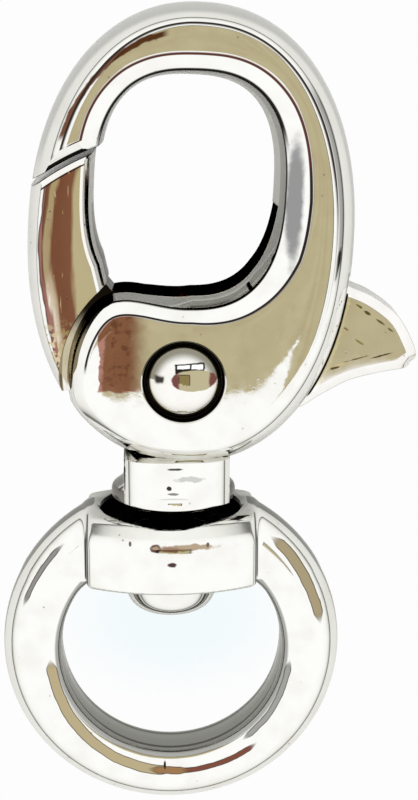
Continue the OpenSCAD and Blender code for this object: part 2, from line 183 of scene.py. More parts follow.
def casting_sheets(inner, outer, bulges, bevels, rims):
    """Inner and outer half of a casting between two edges, as two grids of points."""
    p_in, q_in = inward(inner), -inward(outer)
    inside, outside = [], []
    for p, q, n_p, n_q, bulge, bevel, rim in zip(inner, outer, p_in, q_in, bulges, bevels, rims):
        centre = (p + q) / 2
        inside.append(half_section(centre, p, -n_p, wall_rim(bulge, bevel)))
        outside.append(half_section(centre, q, -n_q, round_rim(rim)))
    return np.array(inside), np.array(outside)


def make(name, sheets, faces=None, merge=0.002):
    """Closed object from point grids in millimetres, joined where their edges meet, or from
    one point list with its faces."""
    points = sheets
    if faces is None:
        points, faces = [], []
        for sheet in sheets:
            rows, cols = sheet.shape[:2]
            corners = [len(points) + i * cols + j for i in range(rows - 1) for j in range(cols - 1)]
            faces += [(a, a + cols, a + cols + 1, a + 1) for a in corners]
            points += list(sheet.reshape(-1, 3))
    mesh = bpy.data.meshes.new(name)
    mesh.from_pydata([tuple(float(v) * MM for v in p) for p in points], [], faces)
    bm = bmesh.new()
    bm.from_mesh(mesh)
    if merge:
        bmesh.ops.remove_doubles(bm, verts=bm.verts, dist=merge * MM)
        bmesh.ops.dissolve_degenerate(bm, edges=bm.edges, dist=1e-8)
    open_edges = [e for e in bm.edges if e.is_boundary]
    if open_edges:
        bmesh.ops.holes_fill(bm, edges=open_edges, sides=0)
    bmesh.ops.recalc_face_normals(bm, faces=bm.faces)
    bm.to_mesh(mesh)
    bm.free()
    obj = bpy.data.objects.new(name, mesh)
    bpy.context.scene.collection.objects.link(obj)
    return obj


def prism(name, outline, place, low, high):
    """Outline in millimetres, extruded from low to high. place gives (u, v, w) its point."""
    n = len(outline)
    points = [place(u, v, w) for w in (low, high) for u, v in outline]
    faces = [tuple(range(n)), tuple(range(2 * n - 1, n - 1, -1))]
    faces += [(i, (i + 1) % n, n + (i + 1) % n, n + i) for i in range(n)]
    return make(name, points, faces, merge=0)


def lathe(name, profile, place, steps=128):
    """Closed profile of (radius, height) points, turned about an axis that place sets."""
    points, faces = [], []
    n = len(profile)
    for turn in np.arange(steps) * 2 * math.pi / steps:
        points += [place(r * math.cos(turn), r * math.sin(turn), h) for r, h in profile]
    for i in range(steps):
        for j in range(n - 1):
            a, b = i * n + j, (i + 1) % steps * n + j
            faces.append((a, b, b + 1, a + 1))
    return make(name, points, faces, merge=0.0005)


def at_pivot(u, v, w):
    return (PIVOT[0] + u, PIVOT[1] + v, w)


def rounded(points, radius, steps=5):
    """Profile with its inner corners rounded. radius is one number, or one for each corner."""
    pts = [np.array(p, float) for p in points]
    out = [pts[0]]
    for i in range(1, len(pts) - 1):
        r = radius[i - 1] if isinstance(radius, list) else radius
        back, ahead = pts[i - 1] - pts[i], pts[i + 1] - pts[i]
        reach = min(r, 0.45 * np.linalg.norm(back), 0.45 * np.linalg.norm(ahead))
        start = pts[i] + back / np.linalg.norm(back) * reach
        end = pts[i] + ahead / np.linalg.norm(ahead) * reach
        for k in range(steps + 1):
            t = k / steps
            out.append((1 - t) ** 2 * start + 2 * t * (1 - t) * pts[i] + t * t * end)
    return [tuple(p) for p in out + [pts[-1]]]


def joint_round(r, bevel, depth=BEVEL_Z):
    """Round solid about the pivot that ends at the joint of gate and tip. Over the depth below
    the faces it widens by the bevel."""
    edge = FACE_Z - depth
    rim = r + bevel * (BODY_T - edge) / depth
    profile = [(0, -BODY_T), (rim, -BODY_T), (r, -edge), (r, edge), (rim, BODY_T), (0, BODY_T)]
    return lathe("joint", profile, at_pivot, steps=720)


def combine(target, tool, operation):
    """Adds, cuts or intersects one closed mesh with another, and removes the tool."""
    step = target.modifiers.new("step", "BOOLEAN")
    step.operation = operation
    step.solver = "MANIFOLD"
    step.object = tool
    bpy.context.view_layer.update()
    graph = bpy.context.evaluated_depsgraph_get()
    mesh = bpy.data.meshes.new_from_object(target.evaluated_get(graph))
    target.modifiers.clear()
    old, target.data = target.data, mesh
    bpy.data.meshes.remove(old)
    mesh.name = target.name
    old = tool.data
    bpy.data.objects.remove(tool)
    bpy.data.meshes.remove(old)


def shade(obj):
    """Smooth shading, with edges kept sharp that turn by more than 32 degrees."""
    mesh = obj.data
    mesh.polygons.foreach_set("use_smooth", [True] * len(mesh.polygons))
    mesh.set_sharp_from_angle(angle=math.radians(32))
    mesh.update()


inner, outer = hook_paths()
bevels = by_direction(inner, (-180, 1.2), (-140, 1.2), (-110, 1.0), (-88, 0.98), (-60, 1.45), (-35, 2.1),
                      (-5, 2.2), (25, 1.9), (50, 1.65), (80, 1.45), (110, 1.45), (140, 1.6), (180, 1.6))
rims = by_direction(outer, (-180, 2.3), (-150, 2.6), (-60, 2.6), (-20, 2.3), (20, 2.1), (60, 1.9), (90, 1.8),
                    (130, 2.0), (180, 2.3))

# Near the tip the face reaches further into the opening, and the wall bulges less by as much.
# Above the rivet the wall swells further into the opening.
draw_in = by_direction(inner, (-180, 0.0), (40, 0.0), (85, 0.2), (125, 0.42), (180, 0.42))
valley = by_direction(inner, (-180, 0.0), (-112, 0.0), (-88, 0.8), (-50, 0.8), (-10, 0.0), (180, 0.0))
valley[:len(inner) // 3] = 0
bulges = BULGE - draw_in + valley
inner = inner + inward(inner) * draw_in[:, None]
inside, outside = casting_sheets(inner, outer, bulges, bevels, rims)

# The cheek's round edge is a fan of sections about one middle, from the outer to the inner rim.
rim_out, rim_in = round_rim(), wall_rim(BULGE, bevels[-1])
middle = (inner[-1] + outer[-1]) / 2
fan_angles = np.linspace(FOOT_A, CHEEK_A, 90)
fan = []
for i, a in enumerate(fan_angles):
    w = smooth((i / (len(fan_angles) - 1) - 0.05) / 0.4)
    way = cheek_rim(a - 0.5, 0) - cheek_rim(a + 0.5, 0)
    normal = np.array([way[1], -way[0]]) / np.linalg.norm(way)
    fan.append(half_section(middle, cheek_rim(a, 0), normal, (1 - w) * rim_out + w * (rim_in + (BULGE, 0))))
fan[0], fan[-1] = outside[-1], inside[-1]
hook = make("hook_casting", [inside, outside, np.array(fan)])

# The tip ends in a round cut about the pivot, bevelled along both faces.
tip_cut = joint_round(JOINT_R + 0.06, TIP_BEVEL)
tip_side = [(-14.5, 12), (-5.5, 12), (-5.5, 24), (-14.5, 24)]
combine(tip_cut, prism("tip_side", tip_side, at_pivot, -BODY_T + 1, BODY_T - 1), "INTERSECT")
combine(hook, tip_cut, "DIFFERENCE")

# The slot lets the thumb tab swing on the right, and the gate's foot on the left.
slot_edge = [polar((0, 0), SLOT_R, a) for a in np.linspace(-12 - SWING, SLOT_A, 90)]
slot_edge += [polar((0, 0), HUB_R + 0.3, a) for a in np.linspace(SLOT_A, 320 - SWING, 50)]
combine(hook, prism("slot", slot_edge, at_pivot, -SLOT_Z, SLOT_Z), "DIFFERENCE")

neck_front = [(u, 5.4 * (1 - abs(u / 5.2) ** 3.4) ** (1 / 3.4)) for u in np.linspace(-4.6, 4.6, 61)]
neck_edge = neck_front + [(u, -v) for u, v in reversed(neck_front)]
neck = prism("neck", neck_edge, lambda u, v, w: (u + NECK_SHIFT, w, v * (0.66 + 0.02 * w)), 14.3, 18.4)
combine(hook, neck, "UNION")
collar = rounded([(0, 13.8), (5.5, 13.8), (5.5, 14.95), (4.7, 15.5), (4.3, 16.2), (0, 16.2)],
                 [0.5, 0.3, 0.25, 0.05])
combine(hook, lathe("collar", collar, lambda u, v, h: (u + COLLAR_SHIFT, h, v)), "UNION")
for side in (-1, 1):
    recess = rounded([(0, SEAT_Z), (RECESS_R, SEAT_Z), (RECESS_R + 0.04, BODY_T / 2 - 0.36),
                      (4.2, BODY_T / 2 + 0.5), (0, BODY_T / 2 + 0.5)], [0.12, 0.12, 0.01])
    combine(hook, lathe("recess", recess, lambda u, v, h: at_pivot(u, v, side * h)), "DIFFERENCE")
shade(hook)

MATH = "ShaderNodeMath"
MAP = "ShaderNodeMapRange"
NOISE = "ShaderNodeTexNoise"


def linear(code):
    """sRGB hex colour as linear RGBA."""
    parts = [int(code[i:i + 2], 16) / 255 for i in (1, 3, 5)]
    return tuple(c / 12.92 if c <= 0.04045 else ((c + 0.055) / 1.055) ** 2.4 for c in parts) + (1.0,)


def add(tree, kind, inputs=None, out=0, **settings):
    """Adds a node with its settings, and its inputs linked from sockets or set to values. Gives
    the output that out names, where the node has outputs."""
    node = tree.nodes.new(kind)
    for key, value in settings.items():
        setattr(node, key, value)
    for key, value in (inputs or {}).items():
        if isinstance(value, bpy.types.NodeSocket):
            tree.links.new(value, node.inputs[key])
        else:
            node.inputs[key].default_value = value
    return node.outputs[out] if node.outputs else node


def where(tree, *limits):
    """Mask that is 1 where all limits hold. A limit is another mask, or a measure with the value
    at which the mask is 0 and the value at which it is 1."""
    mask = None
    for limit in limits:
        if isinstance(limit, tuple):
            limit = add(tree, MAP, {"Value": limit[0], "From Min": limit[1], "From Max": limit[2]},
                        interpolation_type="SMOOTHSTEP")
        mask = add(tree, MATH, {0: mask, 1: limit}, operation="MULTIPLY") if mask else limit
    return mask


def band(measure, low, high, soft=0.05):
    """Two limits that hold where a measure lies between low and high."""
    return (measure, low - soft, low + soft), (measure, high + soft, high - soft)


def paint(tree, colour, coat, *limits):
    """Colour with a coat of another colour on it, where all limits hold."""
    colour, coat = (linear(c) if isinstance(c, str) else c for c in (colour, coat))
    return add(tree, "ShaderNodeMix", {0: where(tree, *limits), 6: colour, 7: coat}, out=2, data_type="RGBA")


def paint_all(tree, colour, *coats):
    """Colour with one coat after the other. Each coat has its colour and its limits."""
    for coat, *limits in coats:
        colour = paint(tree, colour, coat, *limits)
    return colour


def shake(tree, place, per_mm, size):
    """Noise about zero with so many grains to the millimetre, that reaches about size."""
    noise = add(tree, NOISE, {"Vector": place, "Scale": per_mm / MM, "Detail": 3.0})
    noise = add(tree, MATH, {0: noise, 1: 0.5}, operation="SUBTRACT")
    return add(tree, MATH, {0: noise, 1: 4.0 * size}, operation="MULTIPLY")


def shaken(tree, measure, place, per_mm, size):
    return add(tree, MATH, {0: measure, 1: shake(tree, place, per_mm, size)}, operation="ADD")


def spot(tree, place, x, y, half_w, half_h, turn=0, soft=0.25, ragged=0.0):
    """Elliptic mark, seen from the front, with its middle and half sizes in millimetres."""
    local = add(tree, "ShaderNodeMapping", {
        "Vector": place, "Location": (x * MM, y * MM, 0), "Rotation": (0, 0, math.radians(turn)),
        "Scale": (half_w * MM, half_h * MM, 1)}, vector_type="TEXTURE")
    away = add(tree, "ShaderNodeVectorMath", {0: local}, out="Value", operation="LENGTH")
    if ragged:
        away = shaken(tree, away, place, 1.3, ragged)
    return where(tree, (away, 1 + soft, 1 - soft))


def specks(tree, place, colour, on, ragged, *marks):
    """Colour with small ragged marks where the limit on holds. Each has its middle, half sizes,
    turn and colour."""
    for x, y, half_w, half_h, turn, coat in marks:
        colour = paint(tree, colour, coat, on, spot(tree, place, x, y, half_w, half_h, turn, ragged=ragged))
    return colour


def coordinates(tree, place):
    """Sockets for x, y and z in millimetres."""
    split = add(tree, "ShaderNodeSeparateXYZ", {0: place}).node
    return [add(tree, MATH, {0: socket, 1: MM}, operation="DIVIDE") for socket in split.outputs]


def flat_length(tree, a, b):
    squares = [add(tree, MATH, {0: v, 1: v}, operation="MULTIPLY") for v in (a, b)]
    return add(tree, MATH, {0: add(tree, MATH, dict(enumerate(squares)), operation="ADD")}, operation="SQRT")


def from_pivot(tree, x, y):
    """Distance from the gate rivet's axis in millimetres."""
    return flat_length(tree, *[add(tree, MATH, {0: measure, 1: PIVOT[k]}, operation="SUBTRACT")
                               for k, measure in enumerate((x, y))])


def body_share(tree, place):
    """How far out a point lies in the oval body: 0 in its middle and 1 on its edge."""
    local = add(tree, "ShaderNodeMapping", {
        "Vector": place, "Location": (BODY["mid"][0] * MM, BODY["mid"][1] * MM, 0), "Rotation": (0, 0, -LEAN),
        "Scale": (BODY["w"] / 2 * MM, BODY["h"] / 2 * MM, 1)}, vector_type="TEXTURE")
    split = add(tree, "ShaderNodeSeparateXYZ", {0: local}).node
    sizes = [add(tree, MATH, {0: socket}, operation="ABSOLUTE") for socket in split.outputs[:2]]
    powers = [add(tree, MATH, {0: size, 1: BODY["square"]}, operation="POWER") for size in sizes]
    total = add(tree, MATH, dict(enumerate(powers)), operation="ADD")
    return add(tree, MATH, {0: total, 1: 1 / BODY["square"]}, operation="POWER")


def new_material(name):
    """New material with its empty tree and its Object coordinates."""
    material = bpy.data.materials.new(name)
    material.use_nodes = True
    tree = material.node_tree
    tree.nodes.clear()
    return material, tree, add(tree, "ShaderNodeTexCoord", out="Object")


# How many low swells, stained clouds, pits and polishing grains there are to the millimetre. The
# real grains are finer, and are drawn this coarse so that they show.
SWELLS, CLOUDS, PITS, GRAINS = 0.23, 0.42, 1.15, 1.5


def plate(name, tint, rough, marks, waves=0.4, pits=0.5, stretch=(1, 1, 1)):
    """Bright nickel plate on a polished zinc casting. It mirrors its surroundings, which low
    swells in the metal bend a little, and has fine dark pits and a faint cloudy stain. marks
    adds the painted reflections, painted shade and other marks of one piece to the colour."""
    material, tree, place = new_material(name)
    long_way = add(tree, "ShaderNodeMapping", {"Vector": place, "Scale": stretch})
    swell = add(tree, NOISE, {"Vector": long_way, "Scale": SWELLS / MM, "Detail": 2.0})
    grain = add(tree, NOISE, {"Vector": long_way, "Scale": GRAINS / MM, "Detail": 3.0})
    cell = add(tree, "ShaderNodeTexVoronoi", {"Vector": place, "Scale": PITS / MM}, out="Distance")
    patch = add(tree, NOISE, {"Vector": place, "Scale": CLOUDS / MM, "Detail": 2.0})
    pit = where(tree, (cell, 0.16, 0.05), (patch, 0.56, 0.66))
    pit = add(tree, MATH, {0: pit, 1: pits}, operation="MULTIPLY")
    cloud = add(tree, MAP, {"Value": patch, "From Min": 0.35, "From Max": 0.75, "To Max": 0.12},
                interpolation_type="SMOOTHSTEP")
    colour = marks(tree, place, paint(tree, tint, "#b9ab95", cloud))
    height = add(tree, MATH, {0: swell, 1: waves}, operation="MULTIPLY")
    for part, share in ((grain, 0.02), (pit, -0.06)):
        height = add(tree, MATH, {0: part, 1: share, 2: height}, operation="MULTIPLY_ADD")
    bump = add(tree, "ShaderNodeBump", {"Height": height, "Strength": 1.0, "Distance": 0.06 * MM})
    roughness = add(tree, MAP, {"Value": grain, "From Min": 0.3, "From Max": 0.7, "To Min": rough,
                                "To Max": rough + 0.03}, interpolation_type="SMOOTHSTEP")
    roughness = add(tree, MATH, {0: pit, 1: 0.3, 2: roughness}, operation="MULTIPLY_ADD")
    shader = add(tree, "ShaderNodeBsdfPrincipled", {
        "Base Color": paint(tree, colour, "#4a3f36", pit), "Metallic": 1.0, "Roughness": roughness,
        "Normal": bump})
    add(tree, "ShaderNodeOutputMaterial", {"Surface": shader})
    return material


def finish_piece(obj, material, body, node):
    obj.data.materials.clear()
    obj.data.materials.append(material)
    obj.data.polygons.foreach_set("material_index", [0] * len(obj.data.polygons))
    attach(obj, body)
    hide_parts(node)


def slot_shade(tree, place, colour, x, y, z, pivot_r, share):
    """Painted shade in the slot: nearly black, with painted brown reflections below the opening
    and paler at the gate's foot.
    """
    deep = add(tree, MATH, {0: z}, operation="ABSOLUTE")
    shade_and_glints = paint_all(
        tree, "#1d1814",
        ("#c9c0a8", (y, 31.5, 28.5), (x, -6.5, -7.5)),
        ("#c48b55", (shake(tree, place, 0.9, 1.0), -0.05, 0.3), (x, -3.5, -1.5), (y, 29.5, 31.0)))
    return paint(tree, colour, shade_and_glints, (deep, SLOT_Z + 0.06, SLOT_Z),
                 (pivot_r, SLOT_R + 0.12, SLOT_R + 0.06), (share, 0.955, 0.945))


def hook_marks(tree, place, colour):
    """Painted reflections of the room in the plate, dark lines, grey bands and brown patches,
    marks on the neck and collar, and painted shade on the outline, walls, recess, joint and slot.
    """
    x, y, z = coordinates(tree, place)
    pivot_r, share = from_pivot(tree, x, y), body_share(tree, place)
    rough_x, rough_y = shaken(tree, x, place, 0.9, 0.22), shaken(tree, y, place, 1.1, 0.2)
    under_bevel = add(tree, MATH, {
        0: where(tree, *band(z, 4.0, 4.26, 0.03)),
        1: where(tree, *band(z, 4.2, 4.4, 0.03), (y, 44, 47))}, operation="MAXIMUM")
    cheek = where(tree, (z, 5.02, 5.04), *band(rough_y, 24.6, 31.4, 0.12), (rough_x, -6.15, -6.05))
    right_rim = where(tree, (share, 0.86, 0.88), (x, 8, 9))
    right_and_top = add(tree, MATH, {
        0: where(tree, (x, 9, 11), (y, 33, 36)), 1: where(tree, (y, 43, 46))}, operation="MAXIMUM")
    height = add(tree, MATH, {0: z}, operation="ABSOLUTE")
    colour = paint_all(
        tree, colour,
        # the opening's bevel: painted reflections, a dark line below it and a grey patch on the right
        ("#22201d", under_bevel, (share, 0.84, 0.8)),
        ("#8f908f", (z, 4.2, 4.3),
         spot(tree, place, 10.4, 40.7, 0.72, 5.0, turn=-2, soft=0.3, ragged=0.12)),
        # the face: painted reflections, a brown streak at the upper left and a dark line along its inner edge
        ("#6f4a38", (z, 4.7, 4.8), (y, 45.6, 46.4), (x, 0.2, -0.6),
         *band(shaken(tree, share, place, 0.7, 0.007), 0.878, 0.902, 0.004)),
        (paint(tree, "#2b231e", "#57352d", (y, 42, 45)),
         *band(z, 4.955, 5.03, 0.012), (share, 0.85, 0.83), (y, 26, 27)),
        # the cheek: a painted brown reflection on the left, with darker flecks in it
        ("#a87a6c", cheek, (rough_x, -1.6, -3.6)),
        ("#8a5f54", cheek, (shake(tree, place, 1.5, 1.0), 0.0, 0.7), (rough_x, -3.0, -3.6)),
        # the outer rim, painted reflections: grey low on the right, a dark line along the face, and
        # a grey band with its dark end
        ("#8b8b87", *band(z, 2.4, 3.7, 0.1), (share, 0.955, 0.965), (x, 9.5, 10.5), *band(y, 23, 34.4)),
        ("#312a24", *band(z, 4.975, 5.035, 0.01), (share, 0.85, 0.87), (y, 30, 32)),
        ("#a2a29f", right_rim, *band(z, 4.62, 4.965, 0.02), *band(y, 34.5, 50, 1.5)),
        ("#1f1c1a", right_rim, (z, 4.4, 4.5),
         spot(tree, place, 14.0, 35.3, 0.22, 1.5, turn=-12, ragged=0.2)),
        # painted shade: the grey outline, and grey next to it on the right and at the top
        ("#92928f", (share, 0.987, 0.991), *band(z, -0.7, 1.7, 0.3)),
        ("#c6c6c4", right_and_top, (share, 0.952, 0.972), (z, -1, 0)),
        # painted shade: grey on the opening's wall and on the collar's underside
        ("#c2c2bf", *band(z, 2.7, 3.95, 0.05), (share, 0.82, 0.78)),
        ("#7d7a75", (flat_length(tree, x, z), 4.9, 5.0), (y, 15.3, 15.1), (z, 4.0, 3.6)))
    # marks on the neck and the collar, and a painted dark reflection line down the neck's left side
    colour = specks(
        tree, place, colour, (z, 1.9, 2.1), 0.5,
        (0.35, 17.85, 0.8, 0.12, 0, "#4c4945"), (-0.2, 16.1, 0.24, 0.2, 0, "#3b3835"),
        (0.1, 15.55, 0.5, 0.1, 0, "#8a8782"), (1.6, 16.9, 1.2, 0.25, 0, "#c9c8c4"),
        (-4.5, 15.9, 0.3, 0.8, 0, "#4f4b47"), (5.35, 15.6, 0.2, 0.6, 0, "#46423f"),
        (-4.02, 17.0, 0.08, 1.5, 0, "#1f1d1b"))
    # painted shade on the recess's floor, and on the tip's wall at the joint
    colour = paint_all(
        tree, colour,
        ("#15120f", (pivot_r, RECESS_R + 0.14, RECESS_R + 0.1), (height, 4.99, 4.95)),
        ("#191715", *band(pivot_r, 20.9, 21.16, 0.02), (y, 40.0, 41.0), (x, 0, -1)))
    # adds the painted shade in the slot
    return slot_shade(tree, place, colour, x, y, z, pivot_r, share)


finish_piece(hook, plate("hook_plate", "#f1f1ee", 0.02, hook_marks, waves=0.15),
             "hook", "hook_body")


# Gate: the arm that shuts the opening on the left, with a hub in the slot and a thumb tab on
# the right, die-cast as one piece and plated bright. It turns on the gate rivet. The tab is
# bevelled all round and pitted.
LEVER_Z = 2.3
JOINT_GAP = 0.55
GATE_FOOT_R = 10.55
GATE_TOP_A, GATE_LOW_A, GATE_OUTER_LOW_A = 160, 214, 232
GATE_SLOPE = 0.004
GATE_MID_X = -8.5
NOSE_BEVEL, NOSE_BEVEL_Z = 0.5, 0.33
ARM_LOW_A, ARM_TOP_A = 187, 129
BORE_R = 1.56
POCKET_R = 3.1
POCKET_Z = 2.775 - LEVER_Z


def gate_paths(stations=150, foot_part=0.3):
    """Inner and outer edge of the gate's face, from its foot to the joint."""
    inner, outer = [], []
    for s in np.linspace(0, 1, stations):
        if s >= foot_part:
            t = (s - foot_part) / (1 - foot_part)
            inner.append(opening_edge(GATE_LOW_A + (GATE_TOP_A - GATE_LOW_A) * t))
        else:
            k = s / foot_part
            inner.append(opening_edge(GATE_LOW_A) * k + polar(PIVOT, CHEEK_R / 2, 165) * (1 - k))
        outer.append(body_edge(GATE_OUTER_LOW_A + (GATE_TOP_A - GATE_OUTER_LOW_A) * s))
    return np.array(inner), np.array(outer)


def through(points, steps):
    """Smooth path through points, with even steps."""
    pts = np.array(points, float)
    slope = np.gradient(pts, axis=0)
    at = np.linspace(0, len(pts) - 1, 400)
    k = np.minimum(at.astype(int), len(pts) - 2)
    path = np.array([curve(pts[i], pts[i] + slope[i] / 3, pts[i + 1] - slope[i + 1] / 3, pts[i + 1], t)
                     for i, t in zip(k, at - k)])
    far = np.concatenate([[0], np.cumsum(np.linalg.norm(np.diff(path, axis=0), axis=1))])
    even = np.linspace(0, far[-1], steps)
    return np.stack([np.interp(even, far, path[:, axis]) for axis in range(2)], axis=1)


def tab_band(steps=60):
    """Thumb tab: flat on both sides, with a bevel along both edges and round the tip."""
    upper = through([(11.6, 34.8), (13.6, 33.95), (15.6, 33.0), (17.6, 32.1), (19.74, 30.45), (21.0, 28.3),
                     (21.42, 27.0), (21.3, 26.4)], steps)
    lower = through([(5.5, 22.6), (8.4, 22.2), (11.15, 22.35), (13.0, 23.4), (15.37, 24.66), (17.57, 25.28),
                     (19.3, 25.6), (20.4, 25.75), (20.95, 26.0)], steps)
    up_in, low_in = inward(upper), -inward(lower)
    rim = rounded([(1.8, LEVER_Z), (0.8, LEVER_Z), (0, LEVER_Z - 0.34), (0, 0.34 - LEVER_Z),
                   (0.8, -LEVER_Z), (1.8, -LEVER_Z)], 0.12, 4)[1:-1]
    rows = []
    for u, l, n_u, n_l in zip(upper, lower, up_in, low_in):
        k = min(1.0, np.linalg.norm(u - l) / 2.4)
        low = math.sqrt(max(0.0, 1 - (1 - k) ** 2))
        ring = [(*(u + n_u * d * k), z * low) for d, z in rim]
        ring += [(*(l + n_l * d * k), z * low) for d, z in reversed(rim)]
        rows.append(ring + ring[:1])
    return make("tab", [np.array(rows)])


def disc(name, r, low, high):
    """Round plate about the pivot."""
    return prism(name, [polar((0, 0), r, a) for a in np.linspace(0, 360, 181)[:-1]], at_pivot, low, high)


inner, outer = gate_paths()
some = np.ones(len(inner))
inside, outside = casting_sheets(inner, outer, 0.25 * some, 0.6 * some, 1.4 * some)

# Both faces of the gate come down a little toward the opening.
for sheet in (inside, outside):
    sheet[..., 2] *= 1 - GATE_SLOPE * (sheet[..., 0] - GATE_MID_X) * (np.abs(sheet[..., 2]) > 3)
caps = [np.stack([inside[k], outside[k]]) for k in (0, -1)]
gate = make("gate_casting", [inside, outside] + caps)
combine(gate, joint_round(JOINT_R - JOINT_GAP / 2, -NOSE_BEVEL, NOSE_BEVEL_Z), "INTERSECT")
combine(gate, disc("foot", GATE_FOOT_R, -BODY_T, BODY_T), "DIFFERENCE")
combine(gate, disc("hub", HUB_R, -LEVER_Z, LEVER_Z), "UNION")
arm = [polar((0, 0), 3, a) for a in (ARM_LOW_A, ARM_TOP_A)]
arm += [polar((0, 0), GATE_FOOT_R + 0.9, a) for a in np.linspace(ARM_TOP_A, 166, 24)]
arm += [polar((0, 0), GATE_FOOT_R, a) for a in np.linspace(166.2, ARM_LOW_A, 16)]
combine(gate, prism("arm", arm, at_pivot, -LEVER_Z + 0.001, LEVER_Z - 0.001), "UNION")
combine(gate, tab_band(), "UNION")

# The hub is bored for the rivet and has a pocket, a window and a notch for the spring.
combine(gate, disc("bore", BORE_R, -BODY_T, BODY_T), "DIFFERENCE")
combine(gate, disc("pocket", POCKET_R, -4, POCKET_Z), "DIFFERENCE")
window = [(0, 0), polar((0, 0), 12, 202), polar((0, 0), 14, 222 + SWING / 2), polar((0, 0), 12, 242 + SWING)]
combine(gate, prism("window", window, at_pivot, -4, -LEVER_Z + 1.2), "DIFFERENCE")
notch = [(0, -2.95), (4.1, -2.95), (4.1, -2.05), (0, -2.05)]
combine(gate, prism("notch", notch, at_pivot, -4, POCKET_Z), "DIFFERENCE")
shade(gate)


def set_stops(socket, stops):
    """Gives the colour ramp that the socket belongs to its stops, and returns the socket."""
    elements = socket.node.color_ramp.elements
    while len(elements) < len(stops):
        elements.new(0.5)
    for element, (position, code) in zip(elements, stops):
        element.position, element.color = position, linear(code)
    return socket


def gate_marks(tree, place, colour):
    """Painted reflections and shade: brown reflection streaks along the arm, painted shade on the
    walls at the joints, the tab's painted highlight edge and its painted shade, and its specks.
    """
    x, y, z = coordinates(tree, place)
    pivot_r, share = from_pivot(tree, x, y), body_share(tree, place)
    long_way = add(tree, "ShaderNodeMapping", {"Vector": place, "Scale": (1, 0.16, 1)})
    across = add(tree, MATH, {0: 1.0, 1: share}, operation="SUBTRACT")
    across = add(tree, MATH, {0: across, 1: BODY["w"] / 2}, operation="MULTIPLY")
    across = add(tree, MATH, {0: shaken(tree, across, long_way, 0.65, 0.45), 1: 7.0}, operation="DIVIDE")
    streaks = set_stops(add(tree, "ShaderNodeValToRGB", {"Fac": across}), (
        (0.0, "#f0efec"), (0.175, "#f0efec"), (0.185, "#3f2b26"), (0.2, "#8f655c"), (0.24, "#a0756a"),
        (0.265, "#e0d3c4"), (0.315, "#dccbbd"), (0.345, "#9a6a60"), (0.50, "#a3746a"), (0.56, "#f0ece2"),
        (1.0, "#f0efec")))
    face = where(tree, (z, 4.85, 4.93), (x, -3.0, -3.4), (pivot_r, 20.3, 20.24))
    walls = add(tree, MATH, {
        0: where(tree, *band(pivot_r, 20.7, 20.9, 0.02), (y, 38.0, 39.0)),
        1: where(tree, *band(pivot_r, 10.4, 10.62, 0.02), (x, 0.0, -1.0))}, operation="MAXIMUM")
    tab = where(tree, (z, 2.2, 2.25), (x, 9.0, 9.5))
    colour = paint_all(
        tree, colour,
        # the arm's face: painted reflection streaks, a painted dark line at the nose, pale flecks, and
        # pale mottling at the foot
        (streaks, face),
        ("#3f2b26", face, (pivot_r, 20.12, 20.16)),
        ("#f2ddcf", face, (shake(tree, long_way, 2.6, 1.0), 0.62, 0.9)),
        ("#cfc09c", face, (y, 31.5, 29.0), (shake(tree, place, 2.2, 1.0), -0.1, 0.3)),
        # painted shade on the walls at the nose and the foot, lighter toward the foot, and a grey outline
        (paint(tree, "#171513", "#8a7f6a", (y, 31, 29)), walls),
        ("#92928f", (share, 0.987, 0.991), *band(z, -0.7, 1.7, 0.3), (x, 0, -1)),
        # the tab: a painted highlight along its edge, and painted shade below the hook's rim
        ("#fffdf2", tab, *band(shaken(tree, share, place, 1.5, 0.012), 0.99, 1.008, 0.003)),
        ("#12100f", tab, (share, 0.992, 0.988)))
    # the tab's specks: olive and tan marks, and white painted highlights
    colour = specks(
        tree, place, colour, tab, 0.6,
        (16.3, 31.35, 0.3, 0.1, -35, "#8b8a5c"), (17.0, 30.75, 0.34, 0.13, -35, "#6f6c45"),
        (18.2, 29.95, 0.5, 0.1, -35, "#8a8268"), (19.0, 29.3, 0.3, 0.1, -35, "#9a927c"),
        (14.3, 25.95, 0.4, 0.1, 15, "#766c4c"), (16.2, 26.75, 0.9, 0.07, 15, "#8f8668"),
        (18.3, 27.0, 0.9, 0.07, 15, "#6d644d"), (15.2, 29.4, 0.25, 0.12, -35, "#b3a98a"),
        (16.4, 28.2, 0.4, 0.1, -35, "#b9af90"), (15.4, 31.6, 0.2, 0.16, -35, "#ffffff"),
        (14.6, 26.2, 0.5, 0.08, 15, "#fff7d8"), (14.4, 29.9, 0.16, 0.5, -35, "#fff7d8"))
    # adds the painted shade in the slot
    return slot_shade(tree, place, colour, x, y, z, pivot_r, share)


finish_piece(gate, plate("gate_plate", "#f0efec", 0.06, gate_marks, pits=1.0, stretch=(1, 0.35, 1)),
             "gate", "gate_lever")


# Gate rivet: a turned steel pin, plated bright, with a low dome on each side. It is pressed
# into the cheeks and stands in a round recess. The gate turns on it.
DOME_R = 3.2
DOME_H = 1.6
DOME_RIM = 0.25
PIN_R = 1.5


def dome(r, h, rim, base, steps=20):
    """Profile of a domed head from its axis to its base, where the base is at height base."""
    ball = (r * r + (h - rim) ** 2) / (2 * (h - rim))
    reach = math.asin(r / ball)
    top = [(ball * math.sin(a), base + h - ball + ball * math.cos(a)) for a in np.linspace(0, reach, steps)]
    return top + [(r, base + rim * 0.3), (r - 0.1, base)]


half = dome(DOME_R, DOME_H, DOME_RIM, SEAT_Z)
pin = half + [(PIN_R, SEAT_Z), (PIN_R, -SEAT_Z)] + [(r, -h) for r, h in reversed(half)]
rivet = lathe("gate_rivet_head", pin, at_pivot)
shade(rivet)


